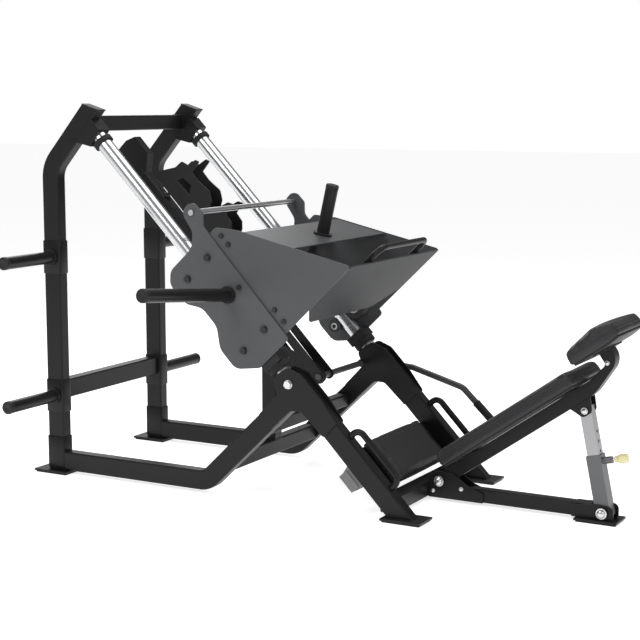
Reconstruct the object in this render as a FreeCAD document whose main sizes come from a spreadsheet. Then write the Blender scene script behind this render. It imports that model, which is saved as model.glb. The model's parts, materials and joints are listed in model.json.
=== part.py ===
import FreeCAD, Part
import math
import os

import Sketcher
from FreeCAD import Placement, Rotation, Vector

# Plate-loaded leg press: +X towards the head pad, +Y the user's right, +Z up, floor at Z = 0.
doc = FreeCAD.newDocument("legPress")
sheet = doc.addObject("Spreadsheet::Sheet", "sizes")

# Every size is in millimetres, every angle in degrees.
driving = {
    "railAngle": 46, "railFootX": 434, "railSpacing": 680,
    "tubeDepth": 76, "tubeWidth": 50, "tubeWall": 3, "tubeCorner": 6,
    "uprightX": -1091, "armTopX": -929, "armTopZ": 1470, "armAngle": 49, "armCutAngle": 17,
    "footPlate": 8, "footPad": 6, "footLength": 158, "footBehind": 53, "footWidth": 110,
    "riserPlace": 600, "legTop": 562, "railLow": 14,
    "rodDiameter": 60, "rodWall": 5, "rodLow": 646, "rodGap": 8,
    "plateThick": 8, "sheetThick": 4, "plateBeyond": 45,
    "rollerHigh": 40, "rollerLow": 22, "rollerWidth": 44, "rollerBore": 7.05, "axleRadius": 7,
    "rollerGap": 0.3, "rollerRear": 1195, "rollerFront": 845,
    "hornRadius": 24.5, "sledHorn": 540, "sledHornTilt": 6, "storeHorn": 290, "topHorn": 195,
    "hornPlace": 1037, "hornUp": 41,
    "footTop": 492, "footBottom": 165, "footFace": 777, "footThick": 6, "footHalf": 360,
    "travel": 540, "crossRod": 11, "crossRodPlace": 1360, "crossRodUp": 136,
    "shaftPlace": 655, "shaftUp": -58, "shaftRadius": 12, "bushGap": 0.05, "rackTop": 118,
    "hookPitch": 225, "rackThick": 6, "gripRadius": 16, "handleRadius": 12.5, "leverBeyond": 76,
    "spineTop": -112, "spineDepth": 60, "spineWidth": 50, "spineLow": 770, "spineHigh": 1840,
    "seatLow": 124, "seatHigh": 322, "seatWidth": 420, "seatThick": 62, "padGap": 0.4,
    "backPivotX": 446, "backPivotZ": 80, "backAngle": 35, "backDepth": 50, "backWidth": 49,
    "padThick": 64, "padWidth": 330, "padStart": 94, "padEnd": 708, "headWidth": 300,
    "pivotPin": 15, "pinGap": 0.05, "baseStart": 505, "baseEnd": 1030, "baseDepth": 50,
    "strutFootX": 1075, "strutTopAlong": 637, "strutTopUnder": 56, "recline": 10,
    "strutInner": 44, "strutOuter": 54, "strutGap": 0.1, "strutSleeve": 205, "openGap": 3,
    "popPin": 5, "popReach": 117, "popTravel": 8, "postLow": 150,
}
for row, (alias, number) in enumerate(driving.items(), start=1):
    sheet.set(f"A{row}", alias)
    sheet.set(f"B{row}", str(number))
    sheet.setAlias(f"B{row}", alias)
doc.recompute()


def size(alias):
    return float(sheet.get(alias))


railTurn = Rotation(Vector(0, 1, 0), size("railAngle"))
railFrame = Placement(Vector(size("railFootX"), 0, 0), railTurn)
halfSpacing = size("railSpacing") / 2
halfDepth = size("tubeDepth") / 2
halfWidth = size("tubeWidth") / 2
nodes = []


def keep(item, label):
    item.Label = label
    nodes.append(item)
    return item


def beside(y, frame=None):
    return Placement(Vector(0, y, 0), Rotation()) * (frame or Placement())


def originPlane(body, role):
    return next(f for f in body.Origin.OriginFeatures if f.Role == role)


def newBody(label, place=None):
    body = doc.addObject("PartDesign::Body", label)
    body.Placement = place or Placement()
    return keep(body, label)


def newSketch(body, name, role="XZ_Plane"):
    sketch = body.newObject("Sketcher::SketchObject", name)
    sketch.AttachmentSupport = (originPlane(body, role), [""])
    sketch.MapMode = "FlatFace"
    return sketch


def drawOutline(sketch, corners):
    """Closed polygon with every corner held by its two coordinates."""
    count = len(corners)
    first = sketch.GeometryCount
    for i, (x, z) in enumerate(corners):
        x2, z2 = corners[(i + 1) % count]
        sketch.addGeometry(Part.LineSegment(Vector(x, z, 0), Vector(x2, z2, 0)))
    for i, (x, z) in enumerate(corners):
        sketch.addConstraint(Sketcher.Constraint("Coincident", first + i, 2, first + (i + 1) % count, 1))
        sketch.addConstraint(Sketcher.Constraint("DistanceX", -1, 1, first + i, 1, x))
        sketch.addConstraint(Sketcher.Constraint("DistanceY", -1, 1, first + i, 1, z))


def drawRounded(sketch, corners, radii):
    """Closed outline whose corners are tangent arcs where their radius isn't 0."""
    count = len(corners)
    ends = []
    for i, ((x, z), radius) in enumerate(zip(corners, radii)):
        corner = Vector(x, z, 0)
        if not radius:
            ends.append((corner, None, corner))
            continue
        back = (Vector(*corners[i - 1], 0) - corner).normalize()
        ahead = (Vector(*corners[(i + 1) % count], 0) - corner).normalize()
        half = back.getAngle(ahead) / 2
        reach = radius / math.tan(half)
        middle = corner + (back + ahead).normalize() * (radius / math.sin(half) - radius)
        ends.append((corner + back * reach, middle, corner + ahead * reach))
    for i, (start, middle, end) in enumerate(ends):
        if middle is not None:
            sketch.addGeometry(Part.Arc(start, middle, end))
        following = ends[(i + 1) % count][0]
        sketch.addGeometry(Part.LineSegment(end, following))


def drawCircle(sketch, x, z, radius, expression=None):
    index = sketch.addGeometry(Part.Circle(Vector(x, z, 0), Vector(0, 0, 1), radius))
    sketch.addConstraint(Sketcher.Constraint("DistanceX", -1, 1, index, 3, x))
    sketch.addConstraint(Sketcher.Constraint("DistanceY", -1, 1, index, 3, z))
    place = sketch.addConstraint(Sketcher.Constraint("Radius", index, radius))
    if expression:
        sketch.setExpression(f"Constraints[{place}]", expression)


def pad(body, sketch, name, length):
    """Pad a sketch to both sides; length is a number or the name of a cell."""
    feature = body.newObject("PartDesign::Pad", name)
    feature.Profile = sketch
    feature.SideType = "Symmetric"
    if isinstance(length, str):
        feature.setExpression("Length", length)
    else:
        feature.Length = length
    doc.recompute()
    return feature


def pocket(body, sketch, name, length):
    """Cut a sketch to both sides by a length, and make sure that it removed something."""
    before = body.Shape.Volume
    feature = body.newObject("PartDesign::Pocket", name)
    feature.Profile = sketch
    feature.SideType = "Symmetric"
    if isinstance(length, str):
        feature.setExpression("Length", length)
    else:
        feature.Length = length
    doc.recompute()
    if feature.Shape.isNull() or feature.Shape.Volume >= before:
        raise RuntimeError(f"{body.Label}: {name} removed nothing")
    return feature


def roundEdges(body, base, name, radius, chosen):
    """Fillet the edges that a test picks."""
    names = [f"Edge{i}" for i, edge in enumerate(base.Shape.Edges, start=1) if chosen(edge)]
    feature = body.newObject("PartDesign::Fillet", name)
    feature.Base = (base, names)
    if isinstance(radius, str):
        feature.setExpression("Radius", radius)
    else:
        feature.Radius = radius
    doc.recompute()
    return feature


def across(edge):
    """True for an edge that runs along Y, through the thickness of a plate."""
    a, b = edge.Vertexes[0].Point, edge.Vertexes[-1].Point
    return abs(a.x - b.x) < 0.01 and abs(a.z - b.z) < 0.01 and abs(a.y - b.y) > 0.5


def atCorner(edge, corners):
    p = edge.Vertexes[0].Point
    return across(edge) and any(math.hypot(p.x - x, p.z - z) < 0.05 for x, z in corners)


def plate(label, corners, thickness, radii=None, holes=(), windows=(), place=None):
    """Flat plate in the XZ plane: outline, rounded corners, round holes and shaped windows."""
    body = newBody(label, place)
    sketch = newSketch(body, label + "Outline")
    drawOutline(sketch, corners)
    solid = pad(body, sketch, label + "Pad", thickness)
    if radii:
        for radius in sorted(set(radii), reverse=True):
            if radius > 0:
                picked = [c for c, r in zip(corners, radii) if r == radius]
                solid = roundEdges(body, solid, f"{label}Round{int(radius)}", radius,
                                   lambda edge: atCorner(edge, picked))
    if holes:
        cut = newSketch(body, label + "Holes")
        for x, z, radius in holes:
            drawCircle(cut, x, z, radius)
        solid = pocket(body, cut, label + "Drill", 400)
    for i, window in enumerate(windows):
        cut = newSketch(body, f"{label}Window{i}")
        drawOutline(cut, window)
        solid = pocket(body, cut, f"{label}Opening{i}", 400)
    return body


def longEdge(edge, half):
    """True for an edge of a bent tube that runs along it, on either flat side."""
    points = [edge.valueAt(edge.FirstParameter), edge.valueAt(edge.LastParameter)]
    return all(abs(abs(p.y) - half) < 0.01 for p in points) and not across(edge)


def lineMeet(p, a, q, b):
    """Where the line through p at angle a meets the line through q at angle b."""
    ca, sa, cb, sb = math.cos(a), math.sin(a), math.cos(b), math.sin(b)
    t = ((q[0] - p[0]) * sb - (q[1] - p[1]) * cb) / (ca * sb - sa * cb)
    return p[0] + t * ca, p[1] + t * sa


def bentTube(label, outer, inner, bends, endEdges, place):
    """Rectangular tube with one bend: the outline of its side, rounded, then hollowed out."""
    body = newBody(label, place)
    sketch = newSketch(body, label + "Outline")
    drawOutline(sketch, outer)
    solid = pad(body, sketch, label + "Pad", "sizes.tubeWidth")
    for corner, radius in bends[0]:
        solid = roundEdges(body, solid, f"{label}Bend{int(radius)}", radius,
                           lambda edge: atCorner(edge, [corner]))

    def side(edge):
        if not longEdge(edge, halfWidth):
            return False
        middle = edge.valueAt((edge.FirstParameter + edge.LastParameter) / 2)
        return not any(abs((middle.x - x) * math.sin(a) - (middle.z - z) * math.cos(a)) < 0.5
                       for x, z, a in endEdges)

    roundEdges(body, solid, label + "Corners", "sizes.tubeCorner", side)
    hollow = newSketch(body, label + "Hollow")
    drawRounded(hollow, inner, [dict(bends[1]).get(corner, 0) for corner in inner])
    pocket(body, hollow, label + "Bore", "sizes.tubeWidth - 2 * sizes.tubeWall")
    return body


def straightTube(label, start, end, depth, width, place, wall="tubeWall", axis="x"):
    """Straight rectangular tube along X from start to end, centred on the other two axes."""
    body = newBody(label, place)
    sketch = newSketch(body, label + "Side")
    d = depth / 2
    w = size(wall)
    drawOutline(sketch, [(start, -d), (end, -d), (end, d), (start, d)])
    solid = pad(body, sketch, label + "Pad", width)
    roundEdges(body, solid, label + "Corners", "sizes.tubeCorner",
               lambda edge: abs(edge.Length - abs(end - start)) < 0.01)
    hollow = newSketch(body, label + "Hollow")
    drawOutline(hollow, [(start - 1, w - d), (end + 1, w - d), (end + 1, d - w), (start - 1, d - w)])
    pocket(body, hollow, label + "Bore", width - 2 * w)
    return body


def crossTube(label, x, z, span, depth, width, place=None):
    """Straight tube along Y, centred at x and z of its frame."""
    turn = Placement(Vector(x, 0, z), Rotation(Vector(0, 0, 1), 90))
    return straightTube(label, -span / 2, span / 2, depth, width, (place or Placement()) * turn)


def cylinder(name, radius, height, place):
    """Cylinder whose radius is a number or the name of a cell."""
    item = doc.addObject("Part::Cylinder", name)
    if isinstance(radius, str):
        item.setExpression("Radius", radius)
    else:
        item.Radius = radius
    item.Height = height
    item.Placement = place
    return item


def alongY(x, y, z, frame=None):
    """Placement of a cylinder that starts at y and runs towards +Y."""
    return (frame or Placement()) * Placement(Vector(x, y, z), Rotation(Vector(1, 0, 0), -90))


def group(label, items):
    """Separate solids in one node."""
    item = doc.addObject("Part::Compound", label)
    item.Links = items
    return keep(item, label)


def fused(label, items):
    item = doc.addObject("Part::MultiFuse", label)
    item.Shapes = items
    item.Refine = True
    return keep(item, label)


def cutFrom(label, base, tool, listed=True):
    item = doc.addObject("Part::Cut", label)
    item.Base = base
    item.Tool = tool
    return keep(item, label) if listed else item


def bolt(name, x, y, z, shank, length, outward, frame=None):
    """Hex-headed bolt along Y: the shank ends at the far side, the head stands outward of y."""
    head = doc.addObject("Part::Prism", name + "Head")
    head.Polygon = 6
    head.Circumradius = shank * 1.9
    head.Height = shank * 1.2
    washer = cylinder(name + "Washer", shank * 2.1, 2, Placement())
    stem = cylinder(name + "Stem", shank, length, Placement())
    washer.Placement = Placement(Vector(0, 0, 0), Rotation())
    head.Placement = Placement(Vector(0, 0, 2), Rotation())
    stem.Placement = Placement(Vector(0, 0, -length), Rotation())
    whole = doc.addObject("Part::MultiFuse", name)
    whole.Shapes = [head, washer, stem]
    turn = Rotation(Vector(1, 0, 0), 90 if outward < 0 else -90)
    whole.Placement = (frame or Placement()) * Placement(Vector(x, y, z), turn)
    return whole


# ---- Side frames -------------------------------------------------------------------------------
rail = math.radians(size("railAngle"))
arm = math.radians(size("armAngle"))
floorTop = size("footPad") + size("footPlate")
wall = size("tubeWall")


def railPoint(u, v):
    """World X and Z of a point u up the rails and v above the rods' plane."""
    x = size("railFootX") - u * math.cos(rail) + v * math.sin(rail)
    return x, u * math.sin(rail) + v * math.cos(rail)


def uprightOutline(inset):
    """Side of the rear upright: vertical post, then the arm that leans forward to the rods."""
    rear = size("uprightX") - halfDepth + inset
    front = size("uprightX") + halfDepth - inset
    back = (size("armTopX") + inset * math.sin(arm), size("armTopZ") - inset * math.cos(arm))
    depth = size("tubeDepth") - inset
    under = (size("armTopX") + depth * math.sin(arm), size("armTopZ") - depth * math.cos(arm))
    cut = -math.radians(size("armCutAngle"))
    top = (size("armTopX"), size("armTopZ"))
    if inset:
        top = (top[0] + math.cos(arm), top[1] + math.sin(arm) + 2)
    low = floorTop if not inset else floorTop - 1
    rearBend = lineMeet((rear, 0), math.pi / 2, back, arm)
    frontBend = lineMeet((front, 0), math.pi / 2, under, arm)
    rearTop = lineMeet(top, cut, back, arm)
    frontTop = lineMeet(top, cut, under, arm)
    return [(rear, low), (front, low), frontBend, frontTop, rearTop, rearBend]


riserTop = -halfDepth - 1


def railOutline(inset):
    """Side of the floor rail and of the riser that turns up from it, square to the rods."""
    low = floorTop + inset
    high = floorTop + size("tubeDepth") - inset
    up = math.pi / 2 - rail
    start = size("uprightX") + halfDepth + (-1 if inset else 0)
    under = railPoint(size("riserPlace") - halfDepth + inset, 0)
    over = railPoint(size("riserPlace") + halfDepth - inset, 0)
    lowBend = lineMeet((0, low), 0, under, up)
    highBend = lineMeet((0, high), 0, over, up)
    end = size("railLow") - halfDepth + (1 if inset else 0)
    underTop = railPoint(size("riserPlace") - halfDepth + inset, end)
    overTop = railPoint(size("riserPlace") + halfDepth - inset, end)
    return [(start, low), lowBend, underTop, overTop, highBend, (start, high)]


outerUpright = uprightOutline(0)
innerUpright = uprightOutline(wall)
outerRail = railOutline(0)
innerRail = railOutline(wall)
for name, side in (("left", -1), ("right", 1)):
    y = side * halfSpacing
    cutAngle = -math.radians(size("armCutAngle"))
    bentTube(f"{name}_upright", outerUpright, innerUpright,
             ([(outerUpright[5], 150), (outerUpright[2], 75)], [(innerUpright[5], 147), (innerUpright[2], 78)]),
             [(0, floorTop, 0), (*outerUpright[3], cutAngle)], beside(y))
    bentTube(f"{name}_base_rail", outerRail, innerRail,
             ([(outerRail[1], 110), (outerRail[4], 35)], [(innerRail[1], 107), (innerRail[4], 38)]),
             [(outerRail[0][0], 0, math.pi / 2), (*outerRail[2], math.pi / 2 - rail)], beside(y))
    low = size("railLow")
    floorCut = (floorTop - (low - halfDepth) * math.cos(rail)) / math.sin(rail)
    floorCutHigh = (floorTop - (low + halfDepth) * math.cos(rail)) / math.sin(rail)
    legEnd = size("legTop") + size("tubeDepth") + 2
    leg = newBody(f"{name}_front_leg", beside(y, railFrame))
    sketch = newSketch(leg, f"{name}LegSide")
    drawOutline(sketch, [(-legEnd, low - halfDepth), (-floorCut, low - halfDepth),
                         (-floorCutHigh, low + halfDepth), (-legEnd, low + halfDepth)])
    solid = pad(leg, sketch, f"{name}LegPad", "sizes.tubeWidth")
    roundEdges(leg, solid, f"{name}LegCorners", "sizes.tubeCorner",
               lambda edge: longEdge(edge, halfWidth) and abs(edge.Length) > 400)
    hollow = newSketch(leg, f"{name}LegHollow")
    innerLow, innerHigh = low - halfDepth + wall, low + halfDepth - wall
    drawOutline(hollow, [(-legEnd - 1, innerLow), (60, innerLow), (60, innerHigh), (-legEnd - 1, innerHigh)])
    pocket(leg, hollow, f"{name}LegBore", "sizes.tubeWidth - 2 * sizes.tubeWall")

# Plastic plugs that close the cut tops of the two arms.
plugs = []
topRear, topFront = outerUpright[4], outerUpright[3]
cutLength = math.dist(topRear, topFront)
for side in (-1, 1):
    cap = doc.addObject("Part::Box", "armPlug")
    cap.Length = cutLength
    cap.setExpression("Width", "sizes.tubeWidth")
    cap.Height = 4
    cap.Placement = Placement(Vector(topRear[0], side * halfSpacing - halfWidth, topRear[1]),
                              Rotation(Vector(0, 1, 0), size("armCutAngle")))
    soft = doc.addObject("Part::Fillet", "armPlugRounded")
    soft.Base = cap
    doc.recompute()
    upper = [i for i, e in enumerate(cap.Shape.Edges, start=1)
             if all(cap.Placement.inverse().multVec(v.Point).z > 3.9 for v in e.Vertexes)]
    soft.Edges = [(i, 2.5, 2.5) for i in upper]
    plugs.append(soft)
group("arm_end_caps", plugs)

# ---- Rods and their ends -----------------------------------------------------------------------
armFace = [outerUpright[3], outerUpright[2]]


def faceU(v):
    """How far up the rails the arm's front face is, at height v above the rods' plane."""
    (x1, z1), (x2, z2) = armFace
    c, s = math.cos(rail), math.sin(rail)
    foot = size("railFootX")
    u1, v1 = -(x1 - foot) * c + z1 * s, (x1 - foot) * s + z1 * c
    u2, v2 = -(x2 - foot) * c + z2 * s, (x2 - foot) * s + z2 * c
    return u1 + (u2 - u1) * (v - v1) / (v2 - v1)


rodRadius = size("rodDiameter") / 2
rodHigh = faceU(0) - size("rodGap")
rodLow = size("rodLow")
rods = []
for name, side in (("left", -1), ("right", 1)):
    rod = newBody(f"{name}Rod", beside(side * halfSpacing, railFrame))
    nodes.remove(rod)
    rods.append(rod)
    turn = newSketch(rod, f"{name}RodSection", "YZ_Plane")
    drawCircle(turn, 0, 0, rodRadius, "sizes.rodDiameter / 2")
    drawCircle(turn, 0, 0, rodRadius - size("rodWall"), "sizes.rodDiameter / 2 - sizes.rodWall")
    bar = rod.newObject("PartDesign::Pad", f"{name}RodLength")
    bar.Profile = turn
    bar.Length = rodHigh - rodLow
    doc.recompute()
    rod.Placement = beside(side * halfSpacing, railFrame) * Placement(Vector(-rodHigh, 0, 0), Rotation())
group("guide_rods", rods)

sockets = []
for side in (-1, 1):
    block = Part.makePolygon([Vector(-faceU(v), -34, v) for v in (38, -78)]
                             + [Vector(-(faceU(0) - 70), -34, -36), Vector(-(faceU(0) - 52), -34, 38),
                                Vector(-faceU(38), -34, 38)])
    solid = Part.Face(block).extrude(Vector(0, 68, 0))
    bore = Part.makeCylinder(rodRadius + 0.02, 300, Vector(-rodHigh, 0, 0), Vector(1, 0, 0))
    socket = doc.addObject("Part::Feature", "rodSocket")
    socket.Shape = solid.cut(bore)
    socket.Placement = beside(side * halfSpacing, railFrame)
    sockets.append(socket)
group("rod_top_sockets", sockets)

buffers = []
for side in (-1, 1):
    ring = doc.addObject("Part::Feature", "rodBuffer")
    outer = Part.makeCylinder(rodRadius + 15, 26, Vector(-rodLow - 79, 0, 0), Vector(1, 0, 0))
    outer = outer.makeFillet(5, [e for e in outer.Edges if e.Closed and abs(e.Curve.Radius - rodRadius - 15) < 0.1])
    ring.Shape = outer.cut(Part.makeCylinder(rodRadius + 0.02, 60, Vector(-rodLow - 90, 0, 0), Vector(1, 0, 0)))
    ring.Placement = beside(side * halfSpacing, railFrame)
    buffers.append(ring)
for side in (-1, 1):
    ring = doc.addObject("Part::Feature", "rodTopBuffer")
    outer = Part.makeCylinder(rodRadius + 9, 18, Vector(-rodHigh + 66, 0, 0), Vector(1, 0, 0))
    ring.Shape = outer.cut(Part.makeCylinder(rodRadius + 0.02, 60, Vector(-rodHigh + 50, 0, 0), Vector(1, 0, 0)))
    ring.Placement = beside(side * halfSpacing, railFrame)
    buffers.append(ring)
group("rod_buffers", buffers)

# Apex plates: a pair each side, which clamp the leg, the riser and the rod's foot.
riser = size("riserPlace")
apexOutline = [(-riser - 100, -36), (-riser - 86, 40), (-riser - 30, 66), (-riser + 90, 66),
               (-riser + 190, 54), (-riser + 196, -22), (-riser + 70, -30), (-riser + 37, -62),
               (-riser + 37, -180), (-riser - 37, -180), (-riser - 42, -60)]
apexRadii = [20, 24, 30, 30, 10, 10, 26, 26, 8, 8, 16]
apexPlate = 6
shaftHole = size("shaftRadius") + size("bushGap") + 4
apexBolt = 8
apexPlates = []
for name, side in (("left", -1), ("right", 1)):
    for offset in (-1, 1):
        y = side * halfSpacing + offset * (halfWidth + apexPlate / 2)
        holes = [(-size("shaftPlace"), size("shaftUp"), shaftHole)] if side > 0 else []
        if offset == side:
            holes.append((-riser - 38, 0, apexBolt))
        body = plate(f"{name}Apex{'Inner' if offset * side < 0 else 'Outer'}", apexOutline, apexPlate,
                     apexRadii, holes=holes, place=beside(y, railFrame))
        nodes.remove(body)
        apexPlates.append(body)
apexSet = doc.addObject("Part::Compound", "apexSet")
apexSet.Links = apexPlates
rodSpace = doc.addObject("Part::Compound", "rodSpace")
rodSpace.Links = [cylinder("rodSlot", rodRadius + 0.02, 200, beside(side * halfSpacing, railFrame)
                           * Placement(Vector(-rodLow, 0, 0), Rotation(Vector(0, 1, 0), -90))) for side in (-1, 1)]
cutFrom("apex_plates", apexSet, rodSpace)

# ---- Cross members and the spine -----------------------------------------------------------------
inside = size("railSpacing") - size("tubeWidth")
lowerBarZ = 338
crossTube("rear_crossbar", size("uprightX"), lowerBarZ, inside, 76, 50)
topBarX, topBarZ = railPoint(faceU(-20) + halfDepth, -20)
crossTube("top_crossbeam", topBarX, topBarZ, inside, 60, 50)
postX, postZ = railPoint(riser, -440)
lowMembers = [crossTube("postMember", postX, postZ, inside, 60, 50)]
riserBarX, riserBarZ = railPoint(riser, -228)
lowMembers.append(crossTube("riserMember", riserBarX, riserBarZ, inside, 50, 50))

spineMid = size("spineTop") - size("spineDepth") / 2
spine = straightTube("spineTube", -size("spineHigh"), -size("spineLow"), size("spineDepth"),
                     size("spineWidth"), railFrame * Placement(Vector(0, 0, spineMid), Rotation()))

columnLow = postZ + 30.2
postHalf = 30
spineUnder = size("spineTop") - size("spineDepth")


def underSpine(x):
    """Height of the spine's lower face above the floor at a given X."""
    s, c = math.sin(rail), math.cos(rail)
    return (spineUnder - (x - size("railFootX")) * s) / c


plate("centre_post", [(postX - postHalf, columnLow), (postX + postHalf, columnLow),
                      (postX + postHalf, underSpine(postX + postHalf) - 0.1),
                      (postX - postHalf, underSpine(postX - postHalf) - 0.1)], 50)

hangU = size("spineHigh")
hanger = [(-hangU - 0.5, size("spineTop")), (-hangU + 70, size("spineTop") + 0.1),
          (-hangU + 20, size("spineTop") + 62), (-faceU(-20) + 12, size("spineTop") + 62),
          (-faceU(-20) - 6, size("spineTop") + 20), (-faceU(-20) - 6, spineUnder), (-hangU - 0.5, spineUnder)]
hangerPlate = plate("spineHanger", hanger, 40, place=railFrame)
for piece in (spine, hangerPlate):
    nodes.remove(piece)
group("spine_beam", [spine, hangerPlate])

# ---- Sled ----------------------------------------------------------------------------------------
outside = halfSpacing + size("plateBeyond")
plateThick = size("plateThick")
sheetThick = size("sheetThick")
plateY = outside - plateThick / 2
innerFace = outside - plateThick
panelInner = innerFace - sheetThick
rollers = [(end, part, size("rollerRear" if end == "rear" else "rollerFront"),
            rodRadius + size("rollerGap") + size("rollerHigh") if part == "upper"
            else -rodRadius - size("rollerGap") - size("rollerLow"))
           for end in ("rear", "front") for part in ("upper", "lower")]
axleRadius = size("axleRadius")
lug = (-size("crossRodPlace"), size("crossRodUp"))
plateOutline = [(lug[0] - 33, lug[1] + 33), (lug[0] - 33, lug[1] - 33), (-1305, 88), (-1266, 40),
                (-1268, -90), (-1232, -128), (-1135, -126), (-1075, -80), (-985, -80), (-915, -128),
                (-818, -128), (-755, -45), (-755, 125), (-1290, 136), (-1325, lug[1] + 33)]
plateRadii = [31, 31, 40, 45, 45, 40, 60, 60, 60, 60, 50, 22, 16, 30, 20]
boltRadius = 5
panelBolts = [(870, 150), (815, 150), (1215, 168), (1172, 168)]
tubeBolt = (-1025, 98)
platePins = [(*tubeBolt, boltRadius)] + [(-u, v, axleRadius) for _, _, u, v in rollers] + [(*lug, size("crossRod"))]
for name, side in (("left", -1), ("right", 1)):
    plate(f"{name}_side_plate", plateOutline, "sizes.plateThick", plateRadii, holes=platePins,
          place=beside(side * plateY, railFrame))
    panel = [(-1232, 72), (-size("footFace"), 72), (-size("footFace"), size("footTop") + 6),
             (-1180, 236), (-1255, 170), (-1255, 100)]
    plate(f"{name}_side_panel", panel, "sizes.sheetThick", [14, 8, 10, 24, 20, 14],
          holes=[(-u, v, axleRadius + 9) for _, _, u, v in rollers if v > 50]
          + [(-u, v, boltRadius) for u, v in panelBolts],
          place=beside(side * (innerFace - sheetThick / 2), railFrame))

foot = newBody("footplate")
footShape = newSketch(foot, "footplateOutline", "YZ_Plane")
footHalf = panelInner - 0.2
drawOutline(footShape, [(-footHalf, size("footTop")), (-footHalf, 262), (-250, size("footBottom")),
                        (250, size("footBottom")), (footHalf, 262), (footHalf, size("footTop"))])
footPad = foot.newObject("PartDesign::Pad", "footplatePad")
footPad.Profile = footShape
footPad.setExpression("Length", "sizes.footThick")
doc.recompute()
roundEdges(foot, footPad, "footplateCorners", 40,
           lambda e: abs(e.Length - size("footThick")) < 0.01 and abs(e.Vertexes[0].Point.z) < 300)
foot.Placement = railFrame * Placement(Vector(-size("footFace") - size("footThick"), 0, 0), Rotation())

ribs = []
for y in (-120, 120):
    rib = plate("rib", [(-size("footFace") - size("footThick"), size("footBottom") + 12),
                        (-size("footFace") - size("footThick"), size("footTop") - 40), (-900, 175), (-900, 131)],
                6, place=beside(y, railFrame))
    nodes.remove(rib)
    ribs.append(rib)
sledTubes = [crossTube("sledFrontTube", -925, 150, 2 * footHalf, 50, 50, railFrame),
             crossTube("sledRearTube", -1160, 150, 2 * footHalf, 50, 50, railFrame)]
for tube in sledTubes:
    nodes.remove(tube)
group("sled_cross_frame", sledTubes + ribs)

deckTilt = math.atan2(size("footTop") + 6 - 236, 1180 - size("footFace"))
deckFrame = railFrame * Placement(Vector(-1180, 0, 236), Rotation(Vector(0, 1, 0), -math.degrees(deckTilt)))
deck = plate("sled_deck", [(12, -8), (232, -8), (232, -3), (12, -3)], 2 * footHalf, place=deckFrame)
hornRadius = size("hornRadius")
topStem = cylinder("topHornStem", "sizes.hornRadius", size("topHorn"), Placement(Vector(150, 0, -3), Rotation()))
topFlange = cylinder("topHornFlange", 36, 8, Placement(Vector(150, 0, -3), Rotation()))
topHorn = fused("top_weight_horn", [topStem, topFlange])
topHorn.Placement = deckFrame

hornX, hornZ = railPoint(size("hornPlace"), size("hornUp"))
tilt = size("sledHornTilt")
for name, side in (("left", -1), ("right", 1)):
    stem = cylinder(f"{name}HornStem", "sizes.hornRadius", size("sledHorn"),
                    Placement(Vector(hornX, side * (outside + 4), hornZ), Rotation(Vector(1, 0, 0), -side * (90 - tilt))))
    seat = cylinder(f"{name}HornSeat", 30, 12,
                    Placement(Vector(hornX, side * (outside + 4), hornZ), Rotation(Vector(1, 0, 0), -side * (90 - tilt))))
    flange = cylinder(f"{name}HornFlange", 33, 6, Placement(Vector(hornX, side * outside, hornZ),
                                                           Rotation(Vector(1, 0, 0), -side * 90)))
    fused(f"{name}_weight_horn", [stem, seat, flange])

rodBar = cylinder("sledCrossRodBar", "sizes.crossRod", 2 * outside + 16, alongY(lug[0], -outside - 8, lug[1], railFrame))
keep(rodBar, "sled_cross_rod")

axles = [bolt(f"axle{i}", -u, side * outside, v, axleRadius, outside - halfSpacing + 26, side, railFrame)
         for side in (-1, 1) for i, (_, _, u, v) in enumerate(rollers)]
sledBolts = [bolt("panelBolt", -u, side * innerFace, v, boltRadius, sheetThick, side, railFrame)
             for side in (-1, 1) for u, v in panelBolts]
sledBolts += [bolt("tubeBolt", *tubeBolt[:1], side * outside, tubeBolt[1], boltRadius, plateThick, side, railFrame)
              for side in (-1, 1)]
group("sled_bolts", axles + sledBolts)

collars = []
for side in (-1, 1):
    collar = doc.addObject("Part::Feature", "stopCollar")
    block = Part.makeBox(36, 74, 80, Vector(-rodLow - 79 - 0.3 - 36, -37, -40))
    block = block.cut(Part.makeCylinder(rodRadius + 2, 200, Vector(-rodLow - 200, 0, 0), Vector(1, 0, 0)))
    collar.Shape = block
    collar.Placement = beside(side * halfSpacing, railFrame)
    collars.append(collar)
group("sled_stop_collars", collars)

rollerWidth = size("rollerWidth")
for name, side in (("left", -1), ("right", 1)):
    for end, part, u, v in rollers:
        core = abs(v) - rodRadius - size("rollerGap")
        rim = core + 6.5
        wheel = Part.makeCylinder(rim, rollerWidth, Vector(0, -rollerWidth / 2, 0), Vector(0, 1, 0))
        wheel = wheel.makeFillet(2, [e for e in wheel.Edges if e.Closed])
        groove = Part.makeTorus(abs(v), rodRadius + size("rollerGap"), Vector(0, 0, 0), Vector(0, 1, 0))
        bore = Part.makeCylinder(size("rollerBore"), 2 * rollerWidth, Vector(0, -rollerWidth, 0), Vector(0, 1, 0))
        roller = doc.addObject("Part::Feature", "roller")
        roller.Shape = wheel.cut(groove).cut(bore)
        roller.Placement = railFrame * Placement(Vector(-u, side * halfSpacing, v), Rotation())
        keep(roller, f"{name}_{end}_{part}_roller")


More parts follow.
